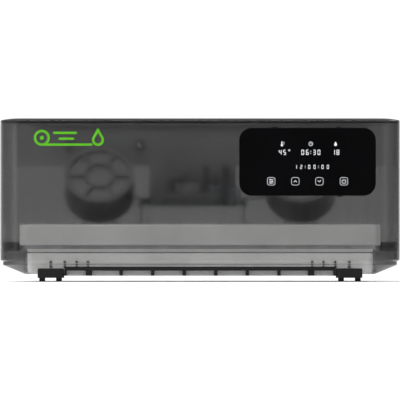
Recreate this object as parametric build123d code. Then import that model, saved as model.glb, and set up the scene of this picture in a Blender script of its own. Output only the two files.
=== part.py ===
from build123d import *
import os

# Filament dryer box. Millimetres. X is side to side, Y front (-) to rear (+), Z up from the floor.
os.makedirs("parts", exist_ok=True)

# ---- overall envelope ----
HALF_W = 285.0          # body and lid, half width
FRONT_Y = -166.5        # outer face of the front wall
REAR_Y = 158.0          # outer face of the rear wall
WALL = 3.0
CORNER_R = 30.0         # plan corners of the body and lid
BODY_BOTTOM = 28.6
CHAMFER_TOP = 31.2      # top of the small chamfer round the body's lower edge
CHAMFER_IN = 4.0
BODY_TOP = 228.9
LID_GAP = 0.3
LID_BOTTOM = BODY_TOP + LID_GAP
LID_TOP = 233.2

# ---- lid, seal and hinges ----
LID_ROLL = [  # distance in from the edge, drop from the top
    (0.0, 3.5),
    (0.8, 3.0),
    (2.0, 2.6),
    (5.0, 2.0),
    (8.0, 1.4),
    (13.5, 0.7),
    (19.0, 0.3),
    (28.0, 0.0),
]
LID_RECESS_IN = 34.0
LID_RECESS_TOP = 230.2
RIM_IN = 10.0           # inner edge of the body's top rim
RIM_BOTTOM = 226.4
SEAL_IN = 4.5
SEAL_OUT = 8.0
SEAL_BOTTOM = 227.6
HINGE_X = 225.0
HINGE_Y = 163.5
HINGE_Z = 225.5
BARREL_R = 4.5
PIN_R = 1.5
PIN_RUN = 0.06          # radial running clearance in the lid's knuckle
KNUCKLE_HALF = 12.0     # lid knuckle, half length
KNUCKLE_TOP = 231.4
KNUCKLE_END = 20.4      # outer end of the bracket's knuckles

# ---- base ----
RING_IN = 4.0           # base ring set in from the body wall
SLOPE_TOP = 24.0
BASE_BOTTOM = 11.0
PAN_HALF = 246.5
PAN_FRONT = -147.5
PAN_REAR = 139.0
PAN_TOP = 46.6
PAN_WALL = 2.5
PAN_R = 8.0             # plan corners of the pan
PAN_FLOOR = 13.5
GROOVE_DEEP = 1.7       # line round the outside of the pan
GROOVE_Z = (40.9, 42.3)
LIP_TOP = 43.4
LIP_T = 2.5
GASKET_TOP = 51.9
STRIP_W = 6.0           # width of the foam strip
TRAY_HALF = 257.4
TRAY_FRONT = -156.0
TRAY_REAR = 150.0
DECK_TOP = 81.5
DECK_T = 2.5
TRAY_T = 2.5
OPENING_R = 1.0         # corner radius of the openings cut in the tray
SIDE_RAIL_Y = (-135.0, 125.0)
SIDE_RAIL_X = 281.6
FLANGE_Z = (53.6, 56.5)     # upper flange of a side rail
LOW_FLANGE_TOP = 47.2

# ---- spools, wells and rollers ----
WELL_IN = 36.0          # inner side wall of a well, nearest the middle
WELL_OUT = 241.5
WELL_FRONT = -143.0
WELL_REAR = 45.0
WELL_WALL = 2.0
WELL_BOTTOM = 15.0
WELL_FLOOR = 17.5
SPOOL_Y = -50.0
ROLLER_DY = 62.0        # roller axes either side of the spool centre
ROLLER_Z = 32.35
ROLLER_R = 9.0
SHAFT_R = 2.5
SHAFT_RUN = 0.06
SADDLES = [(36.0, 40.5), (136.5, 141.5), (237.0, 241.5)]

# ---- fan pods ----
POD_X = 145.0
POD_Y = 83.4            # centre of the guard's face
POD_Z = 153.0
POD_AXIS = (0.0, -0.786, 0.618)
POD_UP = (0.0, 0.618, 0.786)
POD_R = 50.0
POD_DEPTH = 49.0
POD_WALL = 2.5
GUARD_T = 3.0
GUARD_WINDOW_R = 43.5
GUARD_HUB_R = 22.0      # ring that joins the six spokes
GUARD_EYE_R = 18.5
SPOKE_W = 5.0
GAUZE_R = 46.5          # wire gauze clamped behind the guard
GAUZE_T = 0.8
MOTOR_R = 13.0

# ---- display ----
DISPLAY_X = 153.3
DISPLAY_Z = 171.0
LENS_W = 195.0
LENS_H = 97.2
LENS_R = 18.0
LENS_T = 1.5
HOUSING_DEPTH = 10.5
HOUSING_BACK = FRONT_Y + WALL + HOUSING_DEPTH
SENSOR_DEPTH = 8.5

# ---- electronics ----
BRACKET_Z = 106.0
BRACKET_T = 2.5
SHIELD_TOP = 169.5
BOARD_Z = 110.5
BOARD_TOP = 112.1
LEAD_X = (-78.0, 57.0)  # the leads' connectors, left and right

# ---- feet, grille and rear fittings ----
FOOT_IN = 193.8
FOOT_OUT = 231.7
FOOT_BOTTOM = 5.4
FOOT_TOP = 19.0
FOOT_ROWS = [(-158.0, -118.0, 0.0), (109.5, 149.5, 2.2)]    # front, rear, extra outward
PAD_X = (201.25, 225.25)
FOOT_SCREW_R = 1.9
GRILLE_HALF = 193.5
GRILLE_BOTTOM = 8.4
GRILLE_BAR = 15.8       # underside of the grille's top bar
GRILLE_TOP = 21.5
GRILLE_FRONT = -158.0
FILTER_FRONT = -151.5
FILTER_HALF = 190.0
PAN_SCREW_X = [160.0, 176.0, 193.0, 213.0]
PAN_SCREW_Z = [23.0, 28.6]
PAN_SCREW_R = 1.2
INLET_X = -170.0
SWITCH_X = -110.0
REAR_PANEL_Z = 66.5
OUTLET_X = [88.0, 190.0]
OUTLET_Z = 196.0
OUTLET_BORE_R = 2.1
OUTLET_BORE_START = 159.0   # the guide tube stops here, and the passage widens behind it
OUTLET_PASSAGE_R = 3.2
RAIL_FRONT = 149.5
RAIL_BOTTOM = 166.0
RAIL_TOP = RIM_BOTTOM


# ---- helpers ----
def block(x0, x1, y0, y1, z0, z1):
    """Box between two corners."""
    return Pos((x0 + x1) / 2, (y0 + y1) / 2, (z0 + z1) / 2) * Box(x1 - x0, y1 - y0, z1 - z0)


def pair(x0, x1, y0, y1, z0, z1):
    """A box and its mirror image in X."""
    return block(x0, x1, y0, y1, z0, z1) + block(-x1, -x0, y0, y1, z0, z1)


def plan(half, y0, y1, r, z):
    """Rounded rectangle lying flat at height z."""
    return Pos(0, (y0 + y1) / 2, z) * RectangleRounded(2 * half, y1 - y0, r)


def slab(half, y0, y1, r, z0, z1):
    """Upright prism with rounded plan corners."""
    return extrude(plan(half, y0, y1, r, z0), z1 - z0)


def wall_plan(inset, z):
    """The body's outline, set in by inset."""
    r = max(CORNER_R - inset, 2.0)
    return plan(HALF_W - inset, FRONT_Y + inset, REAR_Y - inset, r, z)


def wall_slab(inset, z0, z1):
    return extrude(wall_plan(inset, z0), z1 - z0)


def skin(*sections):
    """Straight-sided loft through flat outlines, lowest first."""
    return loft([s.face() for s in sections], ruled=True)


def along_x(x0, x1, y, z, r):
    """Cylinder along X."""
    return Pos((x0 + x1) / 2, y, z) * Rot(0, 90, 0) * Cylinder(r, x1 - x0)


def along_y(x, y0, y1, z, r):
    """Cylinder along Y."""
    return Pos(x, (y0 + y1) / 2, z) * Rot(90, 0, 0) * Cylinder(r, y1 - y0)


def along_z(x, y, z0, z1, r):
    """Cylinder along Z."""
    return Pos(x, y, (z0 + z1) / 2) * Cylinder(r, z1 - z0)


def front_plane(x, y, z):
    """Work plane facing the viewer: its x is X and its y is Z."""
    return Plane(origin=(x, y, z), x_dir=(1, 0, 0), z_dir=(0, -1, 0)).location


def plate(x, z, width, height, r, y_back, thick):
    """Rounded upright plate whose back is at y_back."""
    return front_plane(x, y_back, z) * extrude(RectangleRounded(width, height, r), thick)


def save(name, shape):
    shape.label = name
    export_step(shape, f"parts/{name}.step")


# ---- lid ----
def lid_sections():
    return [wall_plan(inset, LID_TOP - drop) for inset, drop in LID_ROLL]


lid = wall_slab(0.0, LID_BOTTOM, LID_TOP - LID_ROLL[0][1]) + skin(*lid_sections())
lid -= slab(
    HALF_W - LID_RECESS_IN,
    FRONT_Y + LID_RECESS_IN,
    REAR_Y - LID_RECESS_IN,
    8.0,
    LID_BOTTOM,
    LID_RECESS_TOP,
)
for hx in (-HINGE_X, HINGE_X):
    lid += block(hx - KNUCKLE_HALF, hx + KNUCKLE_HALF, 150.0, HINGE_Y, LID_BOTTOM, KNUCKLE_TOP)
    lid += along_x(hx - KNUCKLE_HALF, hx + KNUCKLE_HALF, HINGE_Y, HINGE_Z, BARREL_R)
    lid -= along_x(hx - KNUCKLE_HALF, hx + KNUCKLE_HALF, HINGE_Y, HINGE_Z, PIN_R + PIN_RUN)
save("lid_panel", lid)

seal = wall_slab(SEAL_IN, SEAL_BOTTOM, BODY_TOP) - wall_slab(SEAL_OUT, SEAL_BOTTOM, BODY_TOP)
save("lid_seal", seal)

brackets = Part()
pins = Part()
for hx in (-HINGE_X, HINGE_X):
    bracket = block(hx - KNUCKLE_END, hx + KNUCKLE_END, REAR_Y, REAR_Y + 2.0, 198.0, 217.0)
    for side in (-1, 1):
        x0 = hx + side * (KNUCKLE_HALF + 0.4)
        x1 = hx + side * KNUCKLE_END
        lo, hi = min(x0, x1), max(x0, x1)
        bracket += block(lo, hi, REAR_Y, HINGE_Y, 208.0, HINGE_Z)
        bracket += along_x(lo, hi, HINGE_Y, HINGE_Z, BARREL_R)
        bracket += along_y(hx + side * 12.0, REAR_Y + 2.0, REAR_Y + 3.4, 203.5, 3.2)
    bracket -= along_x(hx - KNUCKLE_END, hx + KNUCKLE_END, HINGE_Y, HINGE_Z, PIN_R)
    brackets += bracket
    pin = along_x(hx - KNUCKLE_END, hx + KNUCKLE_END, HINGE_Y, HINGE_Z, PIN_R)
    pin += along_x(hx - KNUCKLE_END - 1.0, hx - KNUCKLE_END, HINGE_Y, HINGE_Z, 2.6)
    pin += along_x(hx + KNUCKLE_END, hx + KNUCKLE_END + 1.0, HINGE_Y, HINGE_Z, 2.6)
    pins += pin
save("hinge_brackets", brackets)
save("hinge_pins", pins)

# ---- body wall ----
body = wall_slab(0.0, CHAMFER_TOP, BODY_TOP)
body += skin(wall_plan(CHAMFER_IN, BODY_BOTTOM), wall_plan(0.0, CHAMFER_TOP))
body -= wall_slab(WALL, CHAMFER_TOP, RIM_BOTTOM)
body -= skin(wall_plan(CHAMFER_IN + WALL, BODY_BOTTOM), wall_plan(WALL, CHAMFER_TOP))
body -= wall_slab(RIM_IN, RIM_BOTTOM, BODY_TOP)
body -= seal
body -= plate(DISPLAY_X, DISPLAY_Z, LENS_W - 12.0, LENS_H - 12.0, LENS_R - 6.0, FRONT_Y + WALL, WALL)
body -= block(INLET_X - 13.5, INLET_X + 13.5, REAR_Y - WALL, REAR_Y, REAR_PANEL_Z - 10.0, REAR_PANEL_Z + 10.0)
body -= block(SWITCH_X - 9.5, SWITCH_X + 9.5, REAR_Y - WALL, REAR_Y, REAR_PANEL_Z - 6.5, REAR_PANEL_Z + 6.5)
outlets_at = [-OUTLET_X[1], -OUTLET_X[0], OUTLET_X[0], OUTLET_X[1]]
for ox in outlets_at:
    body -= along_y(ox, REAR_Y - WALL, REAR_Y, OUTLET_Z, 4.9)
save("body_shell", body)

# ---- base ring: sloping underside outside, lip at the sides and back inside ----
ring_top = wall_plan(RING_IN, SLOPE_TOP)
ring_foot = plan(PAN_HALF + 3.0, PAN_FRONT - 3.0, PAN_REAR + 3.0, 10.0, BASE_BOTTOM)
ring = skin(ring_foot, ring_top) + wall_slab(RING_IN, SLOPE_TOP, BODY_BOTTOM)
lip_in = CHAMFER_IN + WALL + 0.3
lip = wall_slab(lip_in, BODY_BOTTOM, LIP_TOP)
lip -= block(-250.0, 250.0, FRONT_Y, -140.0, BODY_BOTTOM, LIP_TOP)
ring += lip
seat_top = 13.7         # the pan drops into the ring up to here
slope_inner_top = 25.5
ring -= slab(PAN_HALF, PAN_FRONT, PAN_REAR, PAN_R, BASE_BOTTOM, seat_top)
ring -= skin(plan(PAN_HALF, PAN_FRONT, PAN_REAR, PAN_R, seat_top), wall_plan(lip_in + LIP_T, slope_inner_top))
ring -= wall_slab(lip_in + LIP_T, slope_inner_top, LIP_TOP)
ring -= block(-GRILLE_HALF, GRILLE_HALF, FRONT_Y, PAN_FRONT, BASE_BOTTOM, GRILLE_TOP)
save("base_shell", ring)

# ---- white pan ----
def pan_slab(inset, z0, z1):
    """The pan's outline, set in by inset."""
    return slab(PAN_HALF - inset, PAN_FRONT + inset, PAN_REAR - inset, PAN_R - inset, z0, z1)


pan = pan_slab(0.0, BASE_BOTTOM, PAN_TOP) - pan_slab(PAN_WALL, PAN_FLOOR, PAN_TOP)
pan -= pan_slab(0.0, *GROOVE_Z) - pan_slab(GROOVE_DEEP, *GROOVE_Z)
for i in range(8):
    sx = -164.5 + 47.0 * i
    pan -= block(sx - 19.0, sx + 19.0, PAN_FRONT, PAN_FRONT + PAN_WALL, PAN_FLOOR, GRILLE_BAR)

# ---- feet, pads and screws ----
foot_blocks = Part()
foot_pads = Part()
foot_screws = Part()
foot_mid = (FOOT_IN + FOOT_OUT) / 2
foot_half = (FOOT_OUT - FOOT_IN) / 2
for side in (-1, 1):
    for y0, y1, outward in FOOT_ROWS:
        ya = (y0 + y1) / 2
        fx = side * (foot_mid + outward)
        foot = block(fx - foot_half, fx + foot_half, y0, y1, FOOT_BOTTOM, FOOT_TOP)
        foot = fillet(foot.edges().filter_by(Axis.Z), 2.5)
        foot -= ring
        foot -= pan_slab(0.0, BASE_BOTTOM, 30.0)
        below = block(fx - 30, fx + 30, y0 - 5, y1 + 5, 0, BASE_BOTTOM)
        outside = block(fx - 30, fx + 30, y0 - 5, y1 + 5, BASE_BOTTOM, 30)
        slope_side = block(fx - 30, fx + 30, PAN_FRONT - 1.0, PAN_REAR + 1.0, BASE_BOTTOM, 30)
        foot = (foot & below) + ((foot & outside) - slope_side - skin(ring_foot, ring_top))
        foot -= along_z(fx, ya, FOOT_BOTTOM, 8.0, 4.0)
        foot -= along_z(fx, ya, 8.0, BASE_BOTTOM, FOOT_SCREW_R)
        foot_blocks += foot
        for px in PAD_X:
            cx = side * (px + outward)
            pad = block(cx - 4.1, cx + 4.1, ya - 13.0, ya + 13.0, 0.0, FOOT_BOTTOM)
            foot_pads += fillet(pad.edges().filter_by(Axis.Z), 2.0)
        screw = along_z(fx, ya, 8.0, WELL_BOTTOM, FOOT_SCREW_R) + along_z(fx, ya, 5.8, 8.0, 3.6)
        screw -= along_z(fx, ya, 5.8, 7.2, 1.5)
        foot_screws += screw
        pan += along_z(fx, ya, PAN_FLOOR, WELL_BOTTOM, 4.5)
        pan -= along_z(fx, ya, BASE_BOTTOM, WELL_BOTTOM, FOOT_SCREW_R)
save("feet", foot_blocks)
save("foot_pads", foot_pads)
save("foot_screws", foot_screws)

pan_screws = Part()
for side in (-1, 1):
    for px in PAN_SCREW_X:
        for pz in PAN_SCREW_Z:
            screw = along_y(side * px, PAN_FRONT, WELL_FRONT, pz, PAN_SCREW_R)
            head = along_y(side * px, PAN_FRONT - 1.2, PAN_FRONT, pz, 2.0)
            head -= along_y(side * px, PAN_FRONT - 1.2, PAN_FRONT - 0.5, pz, 0.9)
            pan_screws += screw + head
            pan -= along_y(side * px, PAN_FRONT, PAN_FRONT + PAN_WALL, pz, PAN_SCREW_R)
save("pan_screws", pan_screws)
save("base_pan", pan)

# ---- gasket and tray ----
# the gasket is four lengths of foam strip, butted at the corners and overhanging the pan's rim
STRIP_IN_X = PAN_HALF - PAN_WALL
STRIP_OUT_X = STRIP_IN_X + STRIP_W
STRIP_FRONT = PAN_FRONT + PAN_WALL
STRIP_REAR = PAN_REAR - PAN_WALL
front_strip = block(-STRIP_OUT_X, STRIP_OUT_X, STRIP_FRONT - STRIP_W, STRIP_FRONT, PAN_TOP, GASKET_TOP)
rear_strip = block(-STRIP_OUT_X, STRIP_OUT_X, STRIP_REAR, STRIP_REAR + STRIP_W, PAN_TOP, GASKET_TOP)
left_strip = block(-STRIP_OUT_X, -STRIP_IN_X, STRIP_FRONT, STRIP_REAR, PAN_TOP, GASKET_TOP)
right_strip = block(STRIP_IN_X, STRIP_OUT_X, STRIP_FRONT, STRIP_REAR, PAN_TOP, GASKET_TOP)
save("tray_gasket", Compound(children=[front_strip, rear_strip, left_strip, right_strip]))

tray = slab(TRAY_HALF, TRAY_FRONT, TRAY_REAR, 14.0, GASKET_TOP, DECK_TOP)
tray = fillet(tray.edges().group_by(Axis.Z)[-1], 3.0)
tray = fillet(tray.edges().group_by(Axis.Z)[0], 1.5)
under_deck = (GASKET_TOP + TRAY_T, DECK_TOP - DECK_T)
tray -= slab(TRAY_HALF - TRAY_T, TRAY_FRONT + TRAY_T, TRAY_REAR - TRAY_T, 11.5, *under_deck)
tray -= slab(STRIP_IN_X, STRIP_FRONT, STRIP_REAR, OPENING_R, GASKET_TOP, GASKET_TOP + TRAY_T)
for side in (-1, 1):
    mid = side * (WELL_IN + WELL_OUT) / 2
    hole = RectangleRounded(WELL_OUT - WELL_IN, WELL_REAR - WELL_FRONT, OPENING_R)
    hole = Pos(mid, (WELL_REAR + WELL_FRONT) / 2, DECK_TOP - DECK_T) * hole
    tray -= extrude(hole, DECK_T)
for cx, half in ((INLET_X, 16.0), (SWITCH_X, 11.0)):
    tray -= block(cx - half, cx + half, TRAY_REAR - 4.0, TRAY_REAR, *under_deck)
save("spool_tray", tray)

# ---- wells, shafts and rollers ----
shafts = Part()
for side, label in ((-1, "left"), (1, "right")):
    mid = side * (WELL_IN + WELL_OUT) / 2
    width = WELL_OUT - WELL_IN
    depth = WELL_REAR - WELL_FRONT
    mid_y = (WELL_REAR + WELL_FRONT) / 2
    shell = RectangleRounded(width + 2 * WELL_WALL, depth + 2 * WELL_WALL, 6.0)
    well = extrude(Pos(mid, mid_y, WELL_BOTTOM) * shell, DECK_TOP - DECK_T - WELL_BOTTOM)
    well -= extrude(Pos(mid, mid_y, WELL_FLOOR) * RectangleRounded(width, depth, 4.0), 80.0)
    for fx in (mid - 80.0, mid + 80.0):
        for fy in (-120.0, 25.0):
            well += block(fx - 5, fx + 5, fy - 5, fy + 5, PAN_FLOOR, WELL_BOTTOM)
    for ry in (SPOOL_Y - ROLLER_DY, SPOOL_Y + ROLLER_DY):
        for s0, s1 in SADDLES:
            x0, x1 = sorted((side * s0, side * s1))
            rib = block(x0, x1, ry - 9.0, ry + 9.0, WELL_FLOOR, 38.0)
            rib = fillet(rib.edges().filter_by(Axis.X).group_by(Axis.Z)[-1], 4.0)
            well += rib
        x0, x1 = sorted((side * WELL_IN, side * WELL_OUT))
        shaft = along_x(x0, x1, ry, ROLLER_Z, SHAFT_R)
        shafts += shaft
        well -= shaft
    for px in PAN_SCREW_X:
        for pz in PAN_SCREW_Z:
            well -= along_y(side * px, PAN_FRONT, WELL_FRONT, pz, PAN_SCREW_R)
    save(f"spool_well_{label}", well)
save("roller_shafts", shafts)

BAYS = {
    "a": (-236.0, -142.5),
    "b": (-135.5, -41.5),
    "c": (41.5, 135.5),
    "d": (142.5, 236.0),
}
for bay, (x0, x1) in BAYS.items():
    for row, ry in (("front", SPOOL_Y - ROLLER_DY), ("rear", SPOOL_Y + ROLLER_DY)):
        roller = along_x(x0 + 3.0, x1 - 3.0, ry, ROLLER_Z, ROLLER_R)
        roller = fillet(roller.edges().filter_by(GeomType.CIRCLE), 1.2)
        roller += along_x(x0, x1, ry, ROLLER_Z, 6.0)
        roller -= along_x(x0, x1, ry, ROLLER_Z, SHAFT_R + SHAFT_RUN)
        save(f"roller_{bay}_{row}", roller)

# ---- side rails and rear rail ----
for side, label in ((-1, "left"), (1, "right")):
    x0, x1 = sorted((side * TRAY_HALF, side * SIDE_RAIL_X))
    web0, web1 = sorted((side * TRAY_HALF, side * (TRAY_HALF + 2.5)))
    rail = block(x0, x1, *SIDE_RAIL_Y, *FLANGE_Z)
    rail += block(x0, x1, *SIDE_RAIL_Y, LIP_TOP, LOW_FLANGE_TOP)
    rail += block(web0, web1, *SIDE_RAIL_Y, LIP_TOP, FLANGE_Z[1])
    for ry in (-90.0, -5.0, 80.0):
        rail += block(x0, x1, ry - 1.25, ry + 1.25, LIP_TOP, FLANGE_Z[1])
    save(f"side_rail_{label}", rail)

rear_rail = wall_slab(WALL, RAIL_BOTTOM, RAIL_TOP)
rear_rail &= block(-HALF_W, HALF_W, RAIL_FRONT, REAR_Y, RAIL_BOTTOM, RAIL_TOP)
rear_rail += block(-240.0, 240.0, RAIL_FRONT - 6.0, RAIL_FRONT, RAIL_TOP - 2.5, RAIL_TOP)
for ox in outlets_at:
    rear_rail -= along_y(ox, RAIL_FRONT, REAR_Y, OUTLET_Z, 4.9)
save("rear_rail", rear_rail)

fittings = Part()
for ox in outlets_at:
    nut = front_plane(ox, RAIL_FRONT, OUTLET_Z) * extrude(RegularPolygon(7.5, 6), 4.0)
    collar = front_plane(ox, REAR_Y + 4.0, OUTLET_Z) * extrude(RegularPolygon(7.5, 6), 4.0)
    fitting = nut + collar
    fitting += along_y(ox, RAIL_FRONT - 4.0, REAR_Y + 1.0, OUTLET_Z, 4.9)
    fitting += along_y(ox, REAR_Y + 4.0, REAR_Y + 10.0, OUTLET_Z, 5.2)
    fitting += along_y(ox, REAR_Y + 7.0, REAR_Y + 8.6, OUTLET_Z, 6.6)
    fitting -= along_y(ox, RAIL_FRONT - 4.0, OUTLET_BORE_START, OUTLET_Z, OUTLET_PASSAGE_R)
    fitting -= along_y(ox, OUTLET_BORE_START, REAR_Y + 10.0, OUTLET_Z, OUTLET_BORE_R)
    fittings += fitting
save("outlet_fittings", fittings)


# ---- fan pods, built about their own axis with the face at z = 0 ----
def drum(r, z0, z1):
    return Pos(0, 0, (z0 + z1) / 2) * Cylinder(r, z1 - z0)


def place_pod(side, part):
    origin = (side * POD_X, POD_Y, POD_Z)
    return Plane(origin=origin, x_dir=(1, 0, 0), z_dir=POD_AXIS).location * part


def pod_housing():
    shell = drum(POD_R, -POD_DEPTH, -GUARD_T) - drum(POD_R - POD_WALL, 2.0 - POD_DEPTH, -GUARD_T)
    shell -= drum(28.0, -POD_DEPTH, 2.0 - POD_DEPTH)
    for k in range(3):
        arm = Pos(30.0, 0, -32.0) * Box(36.5, 5.0, 4.0)
        shell += Rot(0, 0, 90 + 120 * k) * arm
    shell += drum(MOTOR_R + 3.0, -34.0, -30.0)
    shell -= drum(MOTOR_R, -34.0, -30.0)
    return shell


def pod_guard():
    disc = drum(POD_R, -GUARD_T, 0.0)
    disc = fillet(disc.edges().group_by(Axis.Z)[-1], 1.2)
    windows = drum(GUARD_WINDOW_R, -GUARD_T, 0.0) - drum(GUARD_HUB_R, -GUARD_T, 0.0)
    for k in range(3):
        windows -= Rot(0, 0, 60 * k) * Pos(0, 0, -GUARD_T / 2) * Box(110.0, SPOKE_W, GUARD_T)
    return disc - windows - drum(GUARD_EYE_R, -GUARD_T, 0.0)


def pod_impeller():
    fan = drum(14.0, -13.0, -6.0)
    fan = fillet(fan.edges().group_by(Axis.Z)[-1], 1.5)
    root = Plane(origin=(12.0, 0, -9.6), x_dir=(0, 1, 0), z_dir=(1, 0, 0))
    tip = Plane(origin=(44.5, 0, -9.6), x_dir=(0, 1, 0), z_dir=(1, 0, 0))
    blade = loft(
        [
            (root.location * Rot(0, 0, 42) * Rectangle(8.5, 1.6)).face(),
            (tip.location * Rot(0, 0, 24) * Rectangle(17.0, 1.6)).face(),
        ],
        ruled=True,
    )
    for k in range(7):
        fan += Rot(0, 0, 360 / 7 * k) * blade
    fan += drum(PIN_R, -30.0, -13.0)
    return fan


def pod_motor():
    motor = drum(MOTOR_R, -35.0, -15.0)
    motor = fillet(motor.edges().filter_by(GeomType.CIRCLE), 1.0)
    motor -= drum(PIN_R + PIN_RUN, -35.0, -15.0)
    return motor


def pod_heater():
    core = Pos(0, 0, -42.5) * Box(58.0, 58.0, 9.0)
    core -= Pos(0, 0, -42.5) * Box(52.0, 54.0, 9.0)
    for fx in (-16.0, 0.0, 16.0):
        core += Pos(fx, 0, -42.5) * Box(3.2, 54.0, 9.0)
    for k in range(12):
        core += Pos(0, -24.75 + 4.5 * k, -42.5) * Box(52.0, 0.8, 8.0)
    return core


def pod_cradle(side):
    """Wedge under the pod's rear plate, on a screwed-down foot."""
    cx = side * POD_X
    stand = block(cx - 16, cx + 16, 92, 103, DECK_TOP, 99)
    stand += block(cx - 28, cx + 28, 103, 128, DECK_TOP, DECK_TOP + 2.5)
    return stand - place_pod(side, drum(POD_R, -POD_DEPTH, 0.0))


for side, label in ((-1, "left"), (1, "right")):
    save(f"pod_housing_{label}", place_pod(side, pod_housing()))
    save(f"pod_guard_{label}", place_pod(side, pod_guard()))
    save(f"impeller_{label}", place_pod(side, pod_impeller()))
    save(f"fan_motor_{label}", place_pod(side, pod_motor()))
    save(f"heater_core_{label}", place_pod(side, pod_heater()))
    save(f"pod_cradle_{label}", pod_cradle(side))
gauzes = [place_pod(side, drum(GAUZE_R, -GUARD_T - GAUZE_T, -GUARD_T)) for side in (-1, 1)]
save("pod_gauzes", Compound(children=gauzes))

# ---- electronics between the pods ----
LEGS = [(-85.0, 95.0), (-85.0, 135.0), (63.0, 95.0), (63.0, 135.0)]
bracket = block(-92.0, 70.0, 88.0, 144.5, BRACKET_Z, BRACKET_Z + BRACKET_T)
bracket += block(-73.0, 52.0, 144.5 - BRACKET_T, 144.5, BRACKET_Z, SHIELD_TOP)
for lx, ly in LEGS:
    bracket += block(lx - 1.5, lx + 1.5, ly - 3, ly + 3, DECK_TOP, BRACKET_Z)
    bracket += block(lx - 7, lx + 7, ly - 6, ly + 6, DECK_TOP, DECK_TOP + 1.5)
    bracket += along_z(lx, ly, BRACKET_Z + BRACKET_T, BOARD_Z, 3.0)
save("board_bracket", bracket)

board = block(-90.0, 68.0, 90.0, 140.0, BOARD_Z, BOARD_TOP)
for lx, ly in LEGS:
    board += along_z(lx, ly, BOARD_TOP, BOARD_TOP + 2.0, 2.8)
for cx in LEAD_X:
    board += block(cx - 5, cx + 5, 131.0, 139.0, BOARD_TOP, BOARD_TOP + 7.0)
board += block(-12.0, 0.0, 112.0, 124.0, BOARD_TOP, BOARD_TOP + 1.4)
board += block(46.5, 52.0, 108.0, 126.0, BOARD_TOP, BOARD_TOP + 11.0)
board += block(-18.0, -6.0, 130.0, 138.0, BOARD_TOP, BOARD_TOP + 4.0)
save("control_board", board)

power_module = block(-36.0, -1.4, 97.2, 105.4, BOARD_TOP, 141.0)
power_module = fillet(power_module.edges().filter_by(Axis.Z), 1.5)
save("power_module", power_module)

transformer = block(-47.0, -24.5, 108.0, 126.0, BOARD_TOP, 148.0)
transformer += fillet(block(-50.0, -21.5, 106.0, 128.0, 148.0, SHIELD_TOP).edges().filter_by(Axis.Z), 2.0)
transformer += block(-50.0, -21.5, 106.0, 128.0, BOARD_TOP, 118.0)
save("transformer", transformer)

heat_sinks = Part()
for x0, x1 in ((4.3, 12.9), (31.5, 43.0)):
    sink = block(x0, x1, 102.0, 132.0, BOARD_TOP, 166.6)
    for k in range(6):
        gy = 105.0 + 4.6 * k
        sink -= block(x0, x0 + 2.6, gy, gy + 2.4, BOARD_TOP, 166.6)
        sink -= block(x1 - 2.6, x1, gy, gy + 2.4, BOARD_TOP, 166.6)
    heat_sinks += sink
save("heat_sinks", heat_sinks)

capacitors = Part()
for cx, cy, cr, top in ((22.2, 105.5, 8.0, 138.0), (22.2, 123.0, 6.5, 132.0), (52.0, 99.0, 7.0, 134.0)):
    can = along_z(cx, cy, BOARD_TOP, top, cr)
    capacitors += fillet(can.edges().filter_by(GeomType.CIRCLE), 0.9)
save("capacitors", capacitors)

# row of screw terminals along the board's front edge
POLES = 9
POLE_PITCH = 9.0
ROW_X = -53.0
ROW_Y = 90.5
ROW_TOP = 127.0
terminals = block(ROW_X, ROW_X + POLES * POLE_PITCH, ROW_Y, ROW_Y + 6.0, BOARD_TOP, ROW_TOP)
for k in range(POLES):
    px = ROW_X + (k + 0.5) * POLE_PITCH
    terminals -= block(px - 2.6, px + 2.6, ROW_Y, ROW_Y + 3.0, 113.8, 119.0)
    terminals -= along_z(px, ROW_Y + 3.0, 121.5, ROW_TOP, 1.9)
    if k:
        edge = ROW_X + k * POLE_PITCH
        terminals -= block(edge - 0.4, edge + 0.4, ROW_Y, ROW_Y + 0.6, BOARD_TOP, ROW_TOP)
save("terminal_block", terminals)

# ---- leads from the board to the back of each pod ----
rear_up = 10.0
plug_back = POD_DEPTH + 0.1
plug_y = POD_Y - plug_back * POD_AXIS[1] + rear_up * POD_UP[1]
plug_z = POD_Z - plug_back * POD_AXIS[2] + rear_up * POD_UP[2]
for side, label, start_x in ((-1, "left", LEAD_X[0]), (1, "right", LEAD_X[1])):
    plug_x = side * (POD_X - 38.0)
    points = [
        (start_x, 139.0, 116.0),
        (start_x + side * 5.0, 145.5, 117.5),
        (plug_x - side * 4.0, plug_y + 13.0, plug_z - 9.0),
        (plug_x, plug_y, plug_z),
    ]
    path = Spline(*points, tangents=[(0.0, 1.0, 0.0), POD_AXIS])
    start = Plane(origin=path @ 0, z_dir=path % 0)
    lead = sweep(start * Circle(1.8), path=path)
    save(f"harness_{label}", lead)

# ---- display ----
lens = plate(DISPLAY_X, DISPLAY_Z, LENS_W, LENS_H, LENS_R, FRONT_Y, LENS_T)
lens = fillet(lens.edges().group_by(Axis.Y)[0], 0.5)
for tx, tz in ((106.5, 1), (198.0, 1), (199.5, -1)):
    z_edge = DISPLAY_Z + tz * LENS_H / 2
    z0, z1 = sorted((z_edge - tz * 1.0, z_edge + tz * 1.2))
    lens += block(tx - 3.5, tx + 3.5, FRONT_Y - 0.9, FRONT_Y, z0, z1)
save("display_lens", lens)

housing = plate(DISPLAY_X, DISPLAY_Z, LENS_W - 5.0, LENS_H - 5.0, 15.5, HOUSING_BACK, HOUSING_DEPTH)
housing -= plate(
    DISPLAY_X, DISPLAY_Z, LENS_W - 12.0, LENS_H - 12.0, 12.0, HOUSING_BACK - 2.0, HOUSING_DEPTH - 2.0
)
for sx in (-80.0, 80.0):
    for sz in (-32.0, 32.0):
        housing += along_y(DISPLAY_X + sx, HOUSING_BACK - 3.6, HOUSING_BACK - 2.0, DISPLAY_Z + sz, 3.0)
save("display_housing", housing)

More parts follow.
